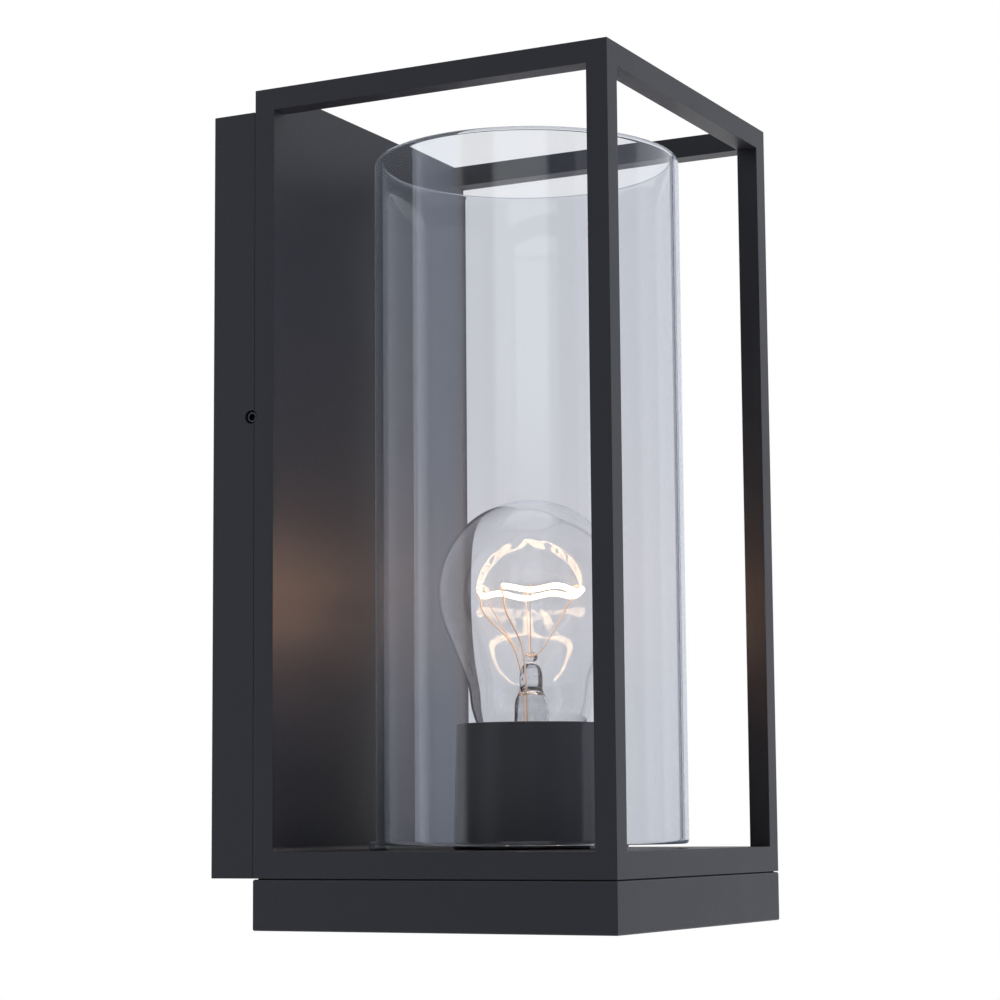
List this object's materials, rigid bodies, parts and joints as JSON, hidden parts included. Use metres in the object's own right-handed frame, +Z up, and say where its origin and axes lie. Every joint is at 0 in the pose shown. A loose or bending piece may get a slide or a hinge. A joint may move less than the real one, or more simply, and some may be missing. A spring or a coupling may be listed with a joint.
{
  "type": "outdoor wall lantern",
  "caption": "Box-frame outdoor wall lantern: open metal cage on a shallow wall box, with a clear open-topped glass cylinder round a screw-in bulb.",
  "frame": {"origin": "middle of the wall box's back face, on the wall", "axes": "+Z up, -Y straight out from the wall towards the front, +X to the right seen from the front"},
  "size_m": [0.127, 0.1395, 0.266],
  "materials": {
    "powder_coat": "matte",
    "black_rubber": "moulded EPDM",
    "brass": "turned",
    "steel": "stainless",
    "white_nylon": "moulded",
    "nickel": "nickel-plated",
    "solder": "soldered",
    "tungsten": "lit coil",
    "brown_sleeve": "silicone sleeve",
    "blue_sleeve": "silicone sleeve",
    "green_sleeve": "silicone sleeve, green and yellow",
    "silicone": "translucent moulded silicone",
    "black_plastic": "satin",
    "black_glass": "fused glass insulator",
    "porcelain": "glazed porcelain",
    "clear_glass": "clear, faintly smoked drawn tube with fire-polished rims",
    "bulb_glass": "clear blown"
  },
  "bodies": {
    "wall_mount": {"wall_box": "powder_coat", "wall_gasket": "black_rubber", "cable_grommet": "black_rubber", "box_earth_washer": "brass", "box_earth_screw": "brass"},
    "lamp_body": {"cage": "powder_coat", "base_cover": "powder_coat", "base_seal": "black_rubber", "base_screw_front_left": "steel", "base_screw_front_right": "steel", "base_screw_rear_left": "steel", "base_screw_rear_right": "steel", "terminal_block": "white_nylon", "clamp_screw_live_lower": "steel", "clamp_screw_live_upper": "steel", "clamp_screw_neutral_lower": "steel", "clamp_screw_neutral_upper": "steel", "clamp_screw_earth_lower": "steel", "clamp_screw_earth_upper": "steel", "terminal_fixing_screw": "steel", "earth_tag": "nickel", "cage_earth_screw": "brass", "live_wire": "brown_sleeve", "neutral_wire": "blue_sleeve", "earth_wire": "green_sleeve", "glass_pad_rear_left": "silicone", "glass_pad_front": "silicone", "glass_pad_rear_right": "silicone", "lampholder_cover": "black_plastic", "lampholder_body": "porcelain", "lampholder_shell": "nickel", "centre_contact": "brass", "nipple": "steel", "nipple_washer": "steel", "nipple_nut": "brass"},
    "lock_screw_left": {"lock_screw_left": "steel"},
    "lock_screw_right": {"lock_screw_right": "steel"},
    "glass": {"glass_cylinder": "clear_glass"},
    "bulb_envelope": {"bulb_glass": "bulb_glass"},
    "bulb_core": {"bulb_cap": "nickel", "bulb_insulator": "black_glass", "bulb_contact": "solder", "bulb_stem": "bulb_glass", "filament_supports": "nickel", "filament": "tungsten", "lead_wire_live": "nickel", "lead_wire_neutral": "nickel"}
  },
  "joints": [
    {"name": "lantern_off_wall_box", "type": "slide", "parent": "wall_mount", "child": "lamp_body", "axis": [0, -1, 0], "range_m": [0, 0.06]},
    {"name": "lock_screw_left_out", "type": "slide", "parent": "wall_mount", "child": "lock_screw_left", "axis": [-1, 0, 0], "range_m": [0, 0.003]},
    {"name": "lock_screw_right_out", "type": "slide", "parent": "wall_mount", "child": "lock_screw_right", "axis": [1, 0, 0], "range_m": [0, 0.003]},
    {"name": "glass_lift", "type": "slide", "parent": "lamp_body", "child": "glass", "axis": [0, 0, 1], "range_m": [0, 0.25]},
    {"name": "bulb_rise", "type": "slide", "parent": "lamp_body", "child": "bulb_envelope", "axis": [0, 0, 1], "range_m": [0, 0.01814]},
    {"name": "bulb_turn", "type": "hinge", "parent": "bulb_envelope", "child": "bulb_core", "pos_m": [0, -0.0806, -0.09], "axis": [0, 0, 1], "range_deg": [0, 1800]}
  ],
  "couplings": [
    {"joint": "bulb_turn", "follows": "bulb_rise", "rad_per_m": 1731.4}
  ]
}
